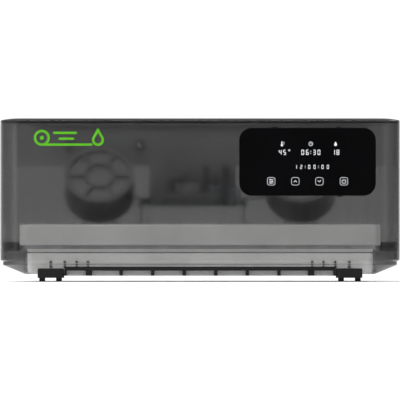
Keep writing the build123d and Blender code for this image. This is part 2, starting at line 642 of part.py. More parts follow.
lcd = plate(DISPLAY_X, DISPLAY_Z, 176.0, 78.0, 3.0, HOUSING_BACK - 3.6, 1.6)
lcd += plate(DISPLAY_X, DISPLAY_Z, 150.0, 62.0, 2.0, HOUSING_BACK - 5.2, 6.0)
lcd = lcd + plate(DISPLAY_X, DISPLAY_Z, 156.0, 68.0, 2.5, HOUSING_BACK - 5.2, 2.5)
save("lcd_module", lcd)

# the humidity sensor hangs on the back of the display housing, high enough to clear the spools
sensor = block(DISPLAY_X - 10.0, DISPLAY_X + 10.0, HOUSING_BACK, HOUSING_BACK + SENSOR_DEPTH, 196.0, 212.0)
for k in range(4):
    sz = 198.6 + 3.2 * k
    for sx in (DISPLAY_X - 10.0, DISPLAY_X + 8.5):
        sensor -= block(sx, sx + 1.5, HOUSING_BACK + 2.0, HOUSING_BACK + SENSOR_DEPTH, sz, sz + 1.3)
save("humidity_sensor", sensor)


# ---- front emblem: a spool ring, a strand and a drop ----
def on_front(shape):
    return front_plane(-186.5, FRONT_Y, 205.2) * extrude(shape, 0.8)


spool_ring = Pos(-39.0, 0) * (Circle(11.4) - Circle(8.0)) + Pos(-39.0, 0) * Circle(2.8)
strand = Pos(-3.0, -9.7) * RectangleRounded(72.0, 3.4, 1.6)
waves = Pos(-6.0, 7.0) * RectangleRounded(34.0, 3.4, 1.6) + Pos(-4.0, -1.3) * RectangleRounded(22.0, 3.4, 1.6)
drop_out = make_hull((Circle(8.6) + Pos(0, 16.0) * Circle(0.8)).edges())
drop_in = make_hull((Circle(5.2) + Pos(0, 9.4) * Circle(0.5)).edges())
drop = Pos(41.0, -3.0) * (drop_out - drop_in)
save("front_badge", on_front(spool_ring + strand + waves + drop))

# ---- air intake under the front edge ----
grille = block(-GRILLE_HALF, GRILLE_HALF, GRILLE_FRONT, PAN_FRONT, GRILLE_BAR, GRILLE_TOP)
grille = fillet(grille.edges().filter_by(Axis.X).group_by(Axis.Y)[0], 1.0)
for gx in (-112.5, -67.5, -22.5, 22.5, 67.5, 112.5):
    grille += block(gx - 2.5, gx + 2.5, GRILLE_FRONT, FILTER_FRONT, GRILLE_BOTTOM, GRILLE_BAR)
for gx in (-158.5, 158.5):
    grille += block(gx - 4.5, gx + 4.5, GRILLE_FRONT, FILTER_FRONT, GRILLE_BOTTOM, GRILLE_BAR)
grille += pair(FILTER_HALF, GRILLE_HALF, GRILLE_FRONT, PAN_FRONT, GRILLE_BOTTOM, GRILLE_BAR)
grille -= block(-GRILLE_HALF, GRILLE_HALF, -149.0, PAN_FRONT, GRILLE_TOP - 1.0, GRILLE_TOP)
save("vent_grille", grille)
save("vent_filter", block(-FILTER_HALF, FILTER_HALF, FILTER_FRONT, PAN_FRONT, GRILLE_BOTTOM, GRILLE_BAR))

# ---- mains inlet, switch and rocker on the rear wall ----
inlet = plate(INLET_X, REAR_PANEL_Z, 46.0, 23.0, 3.0, REAR_Y + 2.5, 2.5)
inlet += block(INLET_X - 13.5, INLET_X + 13.5, 137.0, REAR_Y, REAR_PANEL_Z - 10.0, REAR_PANEL_Z + 10.0)
cup = block(INLET_X - 12.0, INLET_X + 12.0, 142.0, 160.5, REAR_PANEL_Z - 8.2, REAR_PANEL_Z + 8.2)
cup = chamfer(cup.edges().filter_by(Axis.Y).group_by(Axis.Z)[-1], 5.0)
inlet -= cup
for px, pz in ((-7.0, -2.0), (7.0, -2.0), (0.0, 2.0)):
    x0 = INLET_X + px
    z0 = REAR_PANEL_Z + pz
    inlet += block(x0 - 1.0, x0 + 1.0, 142.0, 156.0, z0 - 2.0, z0 + 2.0)
save("power_inlet", inlet)

ROCKER_Y = 156.0
ROCKER_R = 7.3
ROCKER_REST = -9.0
switch = plate(SWITCH_X, REAR_PANEL_Z, 22.0, 16.0, 1.5, REAR_Y + 1.5, 1.5)
switch += block(SWITCH_X - 9.5, SWITCH_X + 9.5, 145.0, REAR_Y, REAR_PANEL_Z - 6.5, REAR_PANEL_Z + 6.5)
switch -= block(SWITCH_X - 7.8, SWITCH_X + 7.8, 148.2, 160.0, REAR_PANEL_Z - 5.2, REAR_PANEL_Z + 5.2)
switch -= along_z(SWITCH_X, ROCKER_Y, REAR_PANEL_Z - 6.1, REAR_PANEL_Z + 6.1, 1.26)
save("switch_housing", switch)

wedge = Polyline((-9, 13), (-9, 4.9), (0, 3.2), (9, 4.9), (9, 13), close=True)
wedge = extrude(Pos(0, 0, -6) * make_face(wedge), 12.0)
rocker = Cylinder(ROCKER_R, 9.6) - wedge
rocker += Cylinder(1.2, 12.0)
save("power_rocker", Pos(SWITCH_X, ROCKER_Y, REAR_PANEL_Z) * Rot(0, 0, ROCKER_REST) * rocker)
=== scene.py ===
import bmesh
import bpy
import math
import random
from mathutils import Matrix, Vector


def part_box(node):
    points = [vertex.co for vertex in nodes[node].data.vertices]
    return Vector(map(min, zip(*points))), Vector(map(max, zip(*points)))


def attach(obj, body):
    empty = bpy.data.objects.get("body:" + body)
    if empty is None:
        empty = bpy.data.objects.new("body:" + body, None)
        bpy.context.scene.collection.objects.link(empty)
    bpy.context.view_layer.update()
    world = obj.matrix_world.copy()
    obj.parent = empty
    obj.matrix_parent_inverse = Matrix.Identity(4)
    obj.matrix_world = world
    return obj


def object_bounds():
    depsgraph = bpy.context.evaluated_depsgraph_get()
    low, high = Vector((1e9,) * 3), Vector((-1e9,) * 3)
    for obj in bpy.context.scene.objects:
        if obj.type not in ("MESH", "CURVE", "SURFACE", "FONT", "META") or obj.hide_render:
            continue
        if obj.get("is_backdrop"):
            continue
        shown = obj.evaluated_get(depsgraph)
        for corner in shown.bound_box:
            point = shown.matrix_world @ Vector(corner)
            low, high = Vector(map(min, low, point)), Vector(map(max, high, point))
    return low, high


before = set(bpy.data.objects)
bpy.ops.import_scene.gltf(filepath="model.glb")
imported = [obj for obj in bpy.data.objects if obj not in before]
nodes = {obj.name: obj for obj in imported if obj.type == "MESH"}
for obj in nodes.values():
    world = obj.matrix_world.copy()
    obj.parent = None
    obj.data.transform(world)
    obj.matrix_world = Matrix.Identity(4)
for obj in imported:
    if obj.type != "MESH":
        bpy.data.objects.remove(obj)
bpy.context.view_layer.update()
MM = 0.001
CABINET = "cabinet"


# ---------------------------------------------------------------- materials
SMOKE_ABSORB = 0.10      # grey level of the smoke's absorption colour
EDGE_WEAR = 0.0006       # how far rubbed edges reach, metres
GROOVE_Z = 0.0416        # the pan's moulded line, where painted shade darkens the pan, metres
GROOVE_HALF = 0.0008     # half its height
WEAVE_PITCH = 0.0022     # wire to wire in the gauze discs, metres
SIDE_START = 0.249       # the base ring's ends are hazier beyond this, metres
SIDE_BLEND = 0.004       # over which the haze sets in
RANGE_SOCKETS = ("From Min", "From Max", "To Min", "To Max")


class Shader:
    """One Principled material with its texture nodes in object space."""

    def __init__(self, name, colour, rough, metallic=0.0, specular=0.5, ior=1.5):
        self.mat = bpy.data.materials.new(name)
        self.mat.use_nodes = True
        self.tree = self.mat.node_tree
        self.bsdf = next(n for n in self.tree.nodes if n.type == "BSDF_PRINCIPLED")
        self.set("Base Color", (*colour, 1.0))
        self.set("Roughness", rough)
        self.set("Metallic", metallic)
        self.set("Specular IOR Level", specular)
        self.set("IOR", ior)
        self.colour = colour
        self.rough = rough
        self.coords = self.add("ShaderNodeTexCoord")
        self.height = None

    def add(self, kind, **values):
        node = self.tree.nodes.new(kind)
        for key, value in values.items():
            if hasattr(node, key):
                setattr(node, key, value)
            else:
                node.inputs[key.replace("_", " ")].default_value = value
        return node

    def set(self, socket, value):
        self.bsdf.inputs[socket].default_value = value

    def link(self, a, b):
        self.tree.links.new(a, b)

    def place_texture(self, tex, stretch):
        """Feeds a texture node the object's coordinates, scaled along each axis."""
        mapping = self.add("ShaderNodeMapping")
        mapping.inputs["Scale"].default_value = stretch
        self.link(self.coords.outputs["Object"], mapping.inputs["Vector"])
        self.link(mapping.outputs["Vector"], tex.inputs["Vector"])

    def axis(self, name):
        """The X, Y or Z coordinate in the object's own space."""
        split = self.add("ShaderNodeSeparateXYZ")
        self.link(self.coords.outputs["Object"], split.inputs["Vector"])
        return split.outputs[name]

    def noise(self, scale, detail=4.0, roughness=0.55, stretch=(1, 1, 1)):
        tex = self.add("ShaderNodeTexNoise", Scale=scale, Detail=detail, Roughness=roughness)
        self.place_texture(tex, stretch)
        return tex.outputs["Fac"]

    def cells(self, scale, feature="F1", stretch=(1, 1, 1)):
        tex = self.add("ShaderNodeTexVoronoi", feature=feature, Scale=scale)
        self.place_texture(tex, stretch)
        return tex.outputs["Distance"]

    def wave(self, scale, direction):
        tex = self.add("ShaderNodeTexWave", bands_direction=direction, Scale=scale)
        self.link(self.coords.outputs["Object"], tex.inputs["Vector"])
        return tex.outputs["Fac"]

    def remap(self, value, from_low, from_high, to_low, to_high):
        node = self.add("ShaderNodeMapRange")
        for socket, number in zip(RANGE_SOCKETS, (from_low, from_high, to_low, to_high)):
            node.inputs[socket].default_value = number
        self.link(value, node.inputs["Value"])
        return node.outputs["Result"]

    def math(self, operation, a, b):
        node = self.add("ShaderNodeMath", operation=operation)
        for socket, value in zip(node.inputs, (a, b)):
            if isinstance(value, (int, float)):
                socket.default_value = value
            else:
                self.link(value, socket)
        return node.outputs[0]

    def mix(self, factor, a, b):
        node = self.add("ShaderNodeMix", data_type="RGBA")
        self.link(factor, node.inputs["Factor"])
        for socket, value in ((node.inputs[6], a), (node.inputs[7], b)):
            if isinstance(value, tuple):
                socket.default_value = (*value, 1.0)
            else:
                self.link(value, socket)
        return node.outputs[2]

    def tint(self, value, low, high):
        """Colour variation between low and high times the base colour."""
        a = tuple(c * low for c in self.colour)
        b = tuple(min(c * high, 1.0) for c in self.colour)
        out = self.mix(self.remap(value, 0.3, 0.7, 0.0, 1.0), a, b)
        self.link(out, self.bsdf.inputs["Base Color"])
        return out

    def roughen(self, value, spread):
        out = self.remap(value, 0.3, 0.7, max(self.rough - spread, 0.02), min(self.rough + spread, 1.0))
        self.link(out, self.bsdf.inputs["Roughness"])

    def bump(self, value, distance, strength=1.0):
        node = self.add("ShaderNodeBump")
        node.inputs["Strength"].default_value = strength
        node.inputs["Distance"].default_value = distance
        self.link(value, node.inputs["Height"])
        if self.height is not None:
            self.link(self.height, node.inputs["Normal"])
        self.height = node.outputs["Normal"]
        self.link(self.height, self.bsdf.inputs["Normal"])

    def worn_edges(self, base, colour, amount=0.5):
        """Lighter rubbed edges: where a rounded normal leaves the true one."""
        geo = self.add("ShaderNodeNewGeometry")
        rounded_off = self.add("ShaderNodeBevel", samples=4)
        rounded_off.inputs["Radius"].default_value = EDGE_WEAR
        turn = self.add("ShaderNodeVectorMath", operation="DOT_PRODUCT")
        self.link(rounded_off.outputs["Normal"], turn.inputs[0])
        self.link(geo.outputs["True Normal"], turn.inputs[1])
        edge = self.remap(turn.outputs["Value"], 0.995, 0.90, 0.0, amount)
        patchy = self.math("MULTIPLY", edge, self.remap(self.noise(140.0, 4.0), 0.35, 0.65, 0.2, 1.0))
        worn = self.mix(patchy, base, colour)
        self.link(worn, self.bsdf.inputs["Base Color"])


def moulded(name, colour, rough, grain=1800.0, worn=None, specular=0.4):
    """Injection-moulded plastic: fine grain, faint blotches and rubbed edges."""
    s = Shader(name, colour, rough, specular=specular)
    broad = s.noise(22.0, 3.0)
    base = s.tint(broad, 0.93, 1.07)
    s.roughen(s.noise(60.0, 4.0), 0.08)
    s.bump(s.noise(grain, 2.0), 0.00002)
    s.bump(s.noise(35.0, 2.0), 0.00006, 0.35)
    if worn:
        s.worn_edges(base, worn)
    return s.mat


def pan_material():
    """White moulded pan, with painted shade in the line round its outside."""
    s = Shader("pan_plastic", (0.94, 0.938, 0.925), 0.42)
    base = s.tint(s.noise(22.0, 3.0), 0.93, 1.07)
    # Painted shade: a 0.16 grey band round GROOVE_Z stands in for the shadow inside the pan's groove.
    off = s.math("ABSOLUTE", s.math("SUBTRACT", s.axis("Z"), GROOVE_Z), 0.0)
    inside = s.remap(off, GROOVE_HALF, GROOVE_HALF * 1.15, 0.72, 0.0)
    painted_groove_shade = s.mix(inside, base, (0.16, 0.16, 0.16))
    s.roughen(s.noise(60.0, 4.0), 0.08)
    s.bump(s.noise(1400.0, 2.0), 0.00002)
    s.worn_edges(painted_groove_shade, (0.93, 0.93, 0.92))
    return s.mat


def smoke(name, tint, rough, density, coat, specular=0.5, side_rough=None):
    """Smoke-tinted clear plastic, slightly hazy inside, under a glossy moulded skin."""
    s = Shader(name, (tint, tint, tint), rough, ior=1.40, specular=specular)
    s.set("Transmission Weight", 1.0)
    s.set("Coat Weight", coat)
    s.set("Coat Roughness", 0.03)
    s.set("Coat IOR", 1.49)
    s.tint(s.noise(7.0, 2.0), 0.97, 1.03)
    streaks = s.noise(90.0, 5.0, 0.6, (1.0, 1.0, 0.06))
    if side_rough is None:
        s.roughen(streaks, 0.02)
    else:
        outward = s.math("ABSOLUTE", s.axis("X"), 0.0)
        plain = s.remap(streaks, 0.3, 0.7, rough - 0.02, rough + 0.02)
        hazy = s.remap(outward, SIDE_START, SIDE_START + SIDE_BLEND, 0.0, side_rough - rough)
        s.link(s.math("ADD", plain, hazy), s.bsdf.inputs["Roughness"])
    s.bump(s.noise(420.0, 3.0), 0.000004, 0.3)
    volume = s.add("ShaderNodeVolumeAbsorption", Density=density)
    volume.inputs["Color"].default_value = (SMOKE_ABSORB, SMOKE_ABSORB, SMOKE_ABSORB, 1.0)
    output = next(n for n in s.tree.nodes if n.type == "OUTPUT_MATERIAL")
    s.link(volume.outputs["Volume"], output.inputs["Volume"])
    return s.mat


def metal(name, colour, rough, stretch=(1, 1, 1)):
    """Metal with a fine grain, drawn out along the axis with the smallest stretch."""
    s = Shader(name, colour, rough, metallic=1.0)
    grain = s.noise(300.0, 5.0, 0.6, stretch)
    s.tint(s.noise(40.0, 3.0), 0.9, 1.08)
    s.roughen(grain, 0.12)
    s.bump(grain, 0.00002, 0.5)
    return s.mat


def gauze_material():
    """Woven steel wire: two sets of wires crossing at WEAVE_PITCH."""
    s = Shader("gauze_wire", (0.28, 0.28, 0.28), 0.45, metallic=1.0)
    scale = math.pi / (10.0 * WEAVE_PITCH)     # a wave texture repeats every pi / (10 * scale)
    weave = s.math("MAXIMUM", s.wave(scale, "X"), s.wave(scale, "Z"))
    s.tint(weave, 0.55, 1.16)
    s.roughen(s.noise(300.0, 5.0), 0.12)
    s.bump(weave, 0.0003, 0.8)
    return s.mat


def rubber(name, colour, rough=0.75):
    s = Shader(name, colour, rough, specular=0.25)
    s.tint(s.noise(45.0, 4.0), 0.85, 1.25)
    s.roughen(s.noise(150.0, 4.0), 0.1)
    s.bump(s.noise(1400.0, 3.0), 0.00003)
    return s.mat


def board_material():
    s = Shader("board_mask", (0.010, 0.034, 0.020), 0.3, specular=0.5)
    tracks = s.cells(210.0, "DISTANCE_TO_EDGE", (1.0, 1.0, 0.0))
    line = s.remap(tracks, 0.02, 0.06, 1.0, 0.0)
    pads = s.cells(420.0, "F1", (1.0, 1.0, 0.0))
    pad = s.remap(pads, 0.10, 0.16, 1.0, 0.0)
    green = s.mix(line, (0.009, 0.030, 0.018), (0.026, 0.085, 0.048))
    out = s.mix(pad, green, (0.55, 0.50, 0.38))
    s.link(out, s.bsdf.inputs["Base Color"])
    s.roughen(s.noise(120.0, 3.0), 0.08)
    s.bump(line, 0.00003, 0.6)
    return s.mat


def sleeve_material():
    """Capacitor sleeve: pale wrap with a darker stripe down one side."""
    s = Shader("capacitor_wrap", (0.42, 0.45, 0.50), 0.28)
    stripe = s.remap(s.wave(22.0, "X"), 0.80, 0.86, 0.0, 1.0)
    out = s.mix(stripe, (0.17, 0.18, 0.20), (0.05, 0.055, 0.06))
    s.link(out, s.bsdf.inputs["Base Color"])
    s.roughen(s.noise(90.0, 4.0), 0.08)
    s.bump(s.noise(260.0, 3.0), 0.00003, 0.5)
    return s.mat


def winding_material():
    """Varnished laminations, layered along Z."""
    s = Shader("laminations", (0.115, 0.115, 0.118), 0.42)
    layers = s.wave(260.0, "Z")
    out = s.tint(s.noise(60.0, 3.0), 0.8, 1.3)
    s.bump(layers, 0.00008, 0.7)
    s.roughen(s.noise(90.0, 4.0), 0.12)
    s.worn_edges(out, (0.20, 0.15, 0.10), 0.35)
    return s.mat


def foam_material():
    s = Shader("filter_foam", (0.42, 0.43, 0.43), 0.95, specular=0.1)
    pores = s.cells(900.0)
    out = s.mix(s.remap(pores, 0.15, 0.55, 0.0, 1.0), (0.17, 0.172, 0.175), (0.46, 0.465, 0.465))
    s.link(out, s.bsdf.inputs["Base Color"])
    s.bump(pores, 0.0004, 0.8)
    return s.mat


def lens_material():
    """Gloss black cover lens with faint finger smears."""
    s = Shader("cover_lens", (0.0022, 0.0022, 0.0026), 0.06, specular=0.32)
    s.tint(s.noise(12.0, 2.0), 0.8, 1.2)
    s.roughen(s.noise(26.0, 5.0, 0.7), 0.035)
    s.bump(s.noise(600.0, 2.0), 0.000003, 0.3)
    return s.mat


def glow(name, colour, strength):
    s = Shader(name, (0.55, 0.56, 0.58), 0.5)
    s.tint(s.noise(500.0, 2.0), 0.95, 1.03)
    s.set("Emission Color", (*colour, 1.0))
    s.set("Emission Strength", strength)
    return s.mat


def badge_material():
    s = Shader("badge_green", (0.090, 0.41, 0.008), 0.34, specular=0.35)
    s.tint(s.noise(180.0, 3.0), 0.94, 1.06)
    s.roughen(s.noise(240.0, 4.0), 0.06)
    s.bump(s.noise(700.0, 2.0), 0.00001)
    # Painted glow: a faint emission lifts the badge's green, though the badge is no lamp.
    s.set("Emission Color", (0.10, 0.55, 0.010, 1.0))
    s.set("Emission Strength", 0.07)
    return s.mat


wall_smoke = smoke("smoke_wall", 0.80, 0.125, density=255.0, coat=0.32)
lid_smoke = smoke("smoke_lid", 0.66, 0.15, density=230.0, coat=0.2, specular=0.3)
base_smoke = smoke("smoke_base", 0.86, 0.14, density=135.0, coat=0.0, specular=0.12, side_rough=0.6)
DARK_WEAR = (0.11, 0.11, 0.115)
black_plastic = moulded("black_plastic", (0.012, 0.012, 0.013), 0.48, worn=(0.05, 0.05, 0.052))
dark_plastic = moulded("dark_plastic", (0.022, 0.022, 0.024), 0.55, worn=DARK_WEAR)
rail_plastic = moulded("rail_plastic", (0.19, 0.19, 0.192), 0.6, worn=(0.16, 0.16, 0.16))
terminal_plastic = moulded("terminal_plastic", (0.105, 0.105, 0.107), 0.5, worn=(0.1, 0.1, 0.1))
fitting_plastic = moulded("fitting_plastic", (0.075, 0.076, 0.078), 0.5, worn=(0.16, 0.16, 0.16))
bracket_plastic = moulded("bracket_plastic", (0.20, 0.20, 0.202), 0.6, worn=(0.12, 0.12, 0.12))
foot_plastic = moulded("foot_plastic", (0.008, 0.008, 0.009), 0.62, worn=(0.03, 0.03, 0.03), specular=0.2)
pod_plastic = moulded("pod_plastic", (0.062, 0.062, 0.064), 0.5, worn=DARK_WEAR)
guard_plastic = moulded("guard_plastic", (0.12, 0.12, 0.12), 0.5, worn=(0.2, 0.2, 0.2))
fan_plastic = moulded("fan_plastic", (0.010, 0.010, 0.011), 0.38, worn=(0.06, 0.06, 0.06))
pan_plastic = pan_material()
tray_plastic = moulded("tray_plastic", (0.60, 0.598, 0.592), 0.46, grain=1500.0, worn=(0.66, 0.66, 0.66))
well_plastic = moulded("well_plastic", (0.53, 0.53, 0.525), 0.5, grain=1500.0, worn=(0.64, 0.64, 0.64))
roller_plastic = moulded("roller_plastic", (0.66, 0.67, 0.68), 0.4, grain=900.0)
gauze_wire = gauze_material()
steel = metal("ground_steel", (0.62, 0.62, 0.63), 0.28, (0.05, 1, 1))
screw_steel = metal("screw_steel", (0.23, 0.23, 0.24), 0.35)
fin_metal = metal("fin_metal", (0.70, 0.70, 0.71), 0.35, (1, 0.1, 1))
black_metal = metal("black_anodised", (0.15, 0.15, 0.154), 0.45, (1, 1, 0.08))
case_metal = metal("module_case", (0.46, 0.465, 0.475), 0.33, (1, 1, 0.1))
brass = metal("brass", (0.62, 0.44, 0.17), 0.32)
seal_rubber = rubber("seal_rubber", (0.05, 0.05, 0.052))
gasket_rubber = rubber("gasket_rubber", (0.40, 0.405, 0.41))
pad_rubber = rubber("pad_rubber", (0.012, 0.012, 0.012))
lead_rubber = rubber("lead_sleeve", (0.018, 0.018, 0.02), 0.6)

FINISH = {
    "body_shell": wall_smoke,
    "lid_panel": lid_smoke,
    "base_shell": base_smoke,
    "lid_seal": seal_rubber,
    "tray_gasket": gasket_rubber,
    "base_pan": pan_plastic,
    "spool_tray": tray_plastic,
    "spool_well_left": well_plastic,
    "spool_well_right": well_plastic,
    "side_rail_left": dark_plastic,
    "side_rail_right": dark_plastic,
    "rear_rail": rail_plastic,
    "roller_shafts": steel,
    "hinge_pins": steel,
    "foot_screws": screw_steel,
    "pan_screws": screw_steel,
    "hinge_brackets": black_plastic,
    "board_bracket": bracket_plastic,
    "control_board": board_material(),
    "power_module": case_metal,
    "transformer": winding_material(),
    "heat_sinks": black_metal,
    "capacitors": sleeve_material(),
    "terminal_block": terminal_plastic,
    "pod_gauzes": gauze_wire,
    "humidity_sensor": black_plastic,
    "display_lens": lens_material(),
    "display_housing": black_plastic,
    "lcd_module": black_plastic,
    "front_badge": badge_material(),
    "vent_grille": foot_plastic,
    "vent_filter": foam_material(),
    "feet": foot_plastic,
    "foot_pads": pad_rubber,
    "power_inlet": black_plastic,
    "switch_housing": black_plastic,
    "power_rocker": fan_plastic,
    "outlet_fittings": fitting_plastic,
}
for side in ("left", "right"):
    FINISH[f"pod_housing_{side}"] = pod_plastic
    FINISH[f"pod_guard_{side}"] = guard_plastic
    FINISH[f"pod_cradle_{side}"] = tray_plastic
    FINISH[f"impeller_{side}"] = fan_plastic
    FINISH[f"fan_motor_{side}"] = black_metal
    FINISH[f"heater_core_{side}"] = fin_metal
    FINISH[f"harness_{side}"] = lead_rubber
for bay in "abcd":
    for row in ("front", "rear"):
        FINISH[f"roller_{bay}_{row}"] = roller_plastic

# Radius of the rounded edges, mm
SOFT_EDGE = {
    "body_shell": 0.5,
    "lid_panel": 0.4,
    "base_shell": 0.4,
    "base_pan": 0.6,
    "spool_tray": 0.5,
    "tray_gasket": 0.8,
    "feet": 0.6,
    "foot_pads": 0.7,
    "vent_grille": 0.4,
    "board_bracket": 0.4,
    "transformer": 0.4,
    "power_inlet": 0.3,
    "switch_housing": 0.3,
    "power_rocker": 0.3,
    "hinge_brackets": 0.4,
    "rear_rail": 0.5,
    "side_rail_left": 0.3,
    "side_rail_right": 0.3,
    "pod_cradle_left": 0.5,
    "pod_cradle_right": 0.5,
    "spool_well_left": 0.4,
    "spool_well_right": 0.4,
    "outlet_fittings": 0.3,
}
EDGE_ANGLE = 42.0        # edges sharper than this are rounded, degrees
for name, obj in nodes.items():
    obj.data.materials.clear()
    obj.data.materials.append(FINISH[name])
    if name in SOFT_EDGE:
        bevel = obj.modifiers.new("soft_edge", "BEVEL")
        bevel.width = SOFT_EDGE[name] * MM
        bevel.segments = 2
        bevel.limit_method = "ANGLE"
        bevel.angle_limit = math.radians(EDGE_ANGLE)
        bevel.harden_normals = True
# The clear shells let all the light in to what they cover.
for name in ("body_shell", "lid_panel", "base_shell"):
    nodes[name].visible_diffuse = False
    nodes[name].visible_shadow = False


# ---------------------------------------------------------------- mesh helpers
def finish_mesh(name, bm, material, body=CABINET, bevel=0.0):
    """Turns a bmesh into a named piece that rides on a body."""
    mesh = bpy.data.meshes.new(name)
    bmesh.ops.recalc_face_normals(bm, faces=bm.faces)
    bm.to_mesh(mesh)
    bm.free()
    obj = bpy.data.objects.new(name, mesh)
    bpy.context.scene.collection.objects.link(obj)
    mesh.materials.append(material)
    if bevel:
        mod = obj.modifiers.new("edge", "BEVEL")
        mod.width = bevel * MM
        mod.segments = 2
        mod.limit_method = "ANGLE"
    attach(obj, body)


def add_outline(bm, outline, y_back, y_front):
    """Extrudes a closed X-Z outline (mm) between two Y planes."""
    back = [bm.verts.new((x * MM, y_back * MM, z * MM)) for x, z in outline]
    front = [bm.verts.new((x * MM, y_front * MM, z * MM)) for x, z in outline]
    bm.faces.new(front)
    bm.faces.new(list(reversed(back)))
    count = len(outline)
    for i in range(count):
        j = (i + 1) % count
        bm.faces.new((back[i], back[j], front[j], front[i]))


def add_band(bm, outer, inner, y_back, y_front):
    """Extrudes the band between two outlines with the same number of points."""
    rings = []
    for outline in (outer, inner):
        for y in (y_back, y_front):
            rings.append([bm.verts.new((x * MM, y * MM, z * MM)) for x, z in outline])
    out_back, out_front, in_back, in_front = rings
    count = len(outer)
    for i in range(count):
        j = (i + 1) % count
        bm.faces.new((out_front[i], out_front[j], in_front[j], in_front[i]))
        bm.faces.new((out_back[i], in_back[i], in_back[j], out_back[j]))
        bm.faces.new((out_back[i], out_back[j], out_front[j], out_front[i]))
        bm.faces.new((in_back[i], in_front[i], in_front[j], in_back[j]))


def circle(cx, cz, r, steps=28, start=0.0, sweep=360.0):
    """Points of a circle, or of an arc of sweep degrees."""
    full = sweep >= 360.0
    count = steps if full else steps + 1
    points = []
    for k in range(count):
        a = math.radians(start + sweep * k / steps)
        points.append((cx + r * math.cos(a), cz + r * math.sin(a)))
    return points


def rounded(cx, cz, w, h, r, steps=6):
    """Points of a rectangle with round corners."""
    points = []
    for qx, qz, a0 in ((1, 1, 0), (-1, 1, 90), (-1, -1, 180), (1, -1, 270)):
        for k in range(steps + 1):
            a = math.radians(a0 + 90 * k / steps)
            points.append((cx + qx * (w / 2 - r) + r * math.cos(a), cz + qz * (h / 2 - r) + r * math.sin(a)))
    return points


def bar(cx, cz, w, h):
    """Thin bar with pointed ends, as on a segment display."""
    if w >= h:
        t = h / 2
        return [(cx - w / 2, cz), (cx - w / 2 + t, cz + t), (cx + w / 2 - t, cz + t),
                (cx + w / 2, cz), (cx + w / 2 - t, cz - t), (cx - w / 2 + t, cz - t)]
    t = w / 2
    return [(cx, cz - h / 2), (cx + t, cz - h / 2 + t), (cx + t, cz + h / 2 - t),
            (cx, cz + h / 2), (cx - t, cz + h / 2 - t), (cx - t, cz - h / 2 + t)]


# ---------------------------------------------------------------- display content
LENS_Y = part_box("display_lens")[0][1] / MM
LIT_BACK = LENS_Y + 0.02
LIT_FRONT = LENS_Y - 0.06
LIT_OVER = LIT_FRONT - 0.01    # for a mark that crosses another
SEGMENTS = {
    "0": "abcdef", "1": "bc", "2": "abged", "3": "abgcd", "4": "fgbc",
    "5": "afgcd", "6": "afgedc", "7": "abc", "8": "abcdefg", "9": "abcdfg",
}
DIGIT_ASPECT = 0.52      # width over height
DIGIT_Z = 184.5          # the row of large digits
DIGIT_H = 7.4
DIGIT_STROKE = 0.85
TIMER_Z = 163.7          # the row of small digits
TIMER_H = 5.8
TIMER_STROKE = 0.72
SIGN_Z = 196.6           # the row of signs


def add_digits(bm, text, cx, cz, height, pitch, stroke):
    """Seven-segment digits, with colons, centred on cx."""
    width = height * DIGIT_ASPECT
    colon = pitch * 0.5
    total = sum(colon if ch == ":" else pitch for ch in text) - (pitch - width)
    x = cx - total / 2
    half = height / 2
    for ch in text:
        if ch == ":":
            mid = x + colon / 2 - (pitch - width) / 2
            for dz in (-0.2, 0.2):
                add_outline(bm, circle(mid, cz + dz * height, stroke * 0.6, 10), LIT_BACK, LIT_FRONT)
            x += colon
            continue
        left, right = x + stroke / 2, x + width - stroke / 2
        mid = (left + right) / 2
        span = right - left - stroke * 0.2
        tall = half - stroke * 0.6
        spots = {
            "a": bar(mid, cz + half - stroke / 2, span, stroke),
            "g": bar(mid, cz, span, stroke),
            "d": bar(mid, cz - half + stroke / 2, span, stroke),
            "f": bar(left, cz + half / 2 - stroke / 8, stroke, tall),
            "b": bar(right, cz + half / 2 - stroke / 8, stroke, tall),
            "e": bar(left, cz - half / 2 + stroke / 8, stroke, tall),
            "c": bar(right, cz - half / 2 + stroke / 8, stroke, tall),
        }
        for seg in SEGMENTS[ch]:
            add_outline(bm, spots[seg], LIT_BACK, LIT_FRONT)
        x += pitch


lit_white = glow("lit_white", (0.86, 0.90, 0.95), 0.56)
lit_dim = glow("lit_dim", (0.80, 0.84, 0.90), 0.32)
bm = bmesh.new()
for text, cx, pitch in (("45", 117.5, 6.2), ("06:30", 158.0, 6.6), ("18", 193.5, 6.2)):
    add_digits(bm, text, cx, DIGIT_Z, DIGIT_H, pitch, DIGIT_STROKE)
add_digits(bm, "12:00:00", 159.5, TIMER_Z, TIMER_H, 7.6, TIMER_STROKE)
degree = (127.2, 187.4)
add_band(bm, circle(*degree, 1.35, 16), circle(*degree, 0.75, 16), LIT_BACK, LIT_FRONT)
finish_mesh("display_digits", bm, lit_white)

# A thermometer with three scale marks, a clock and a drop
bm = bmesh.new()
add_outline(bm, rounded(116.8, SIGN_Z + 1.2, 1.6, 4.6, 0.7), LIT_BACK, LIT_FRONT)
add_outline(bm, circle(116.8, SIGN_Z - 2.0, 1.7, 20), LIT_BACK, LIT_OVER)
for k in range(3):
    add_outline(bm, rounded(119.6, SIGN_Z + 2.4 - 1.5 * k, 1.8, 0.5, 0.2, 2), LIT_BACK, LIT_FRONT)
add_band(bm, circle(158.0, SIGN_Z, 3.1), circle(158.0, SIGN_Z, 2.4), LIT_BACK, LIT_FRONT)
add_outline(bm, rounded(158.0, SIGN_Z + 1.0, 0.6, 2.2, 0.25, 2), LIT_BACK, LIT_FRONT)
add_outline(bm, rounded(158.9, SIGN_Z, 2.0, 0.6, 0.25, 2), LIT_BACK, LIT_OVER)
drop = circle(193.3, SIGN_Z - 1.0, 2.1, 18, 150, 240) + [(193.3, SIGN_Z + 3.4)]
add_outline(bm, drop, LIT_BACK, LIT_FRONT)
finish_mesh("display_signs", bm, lit_dim)

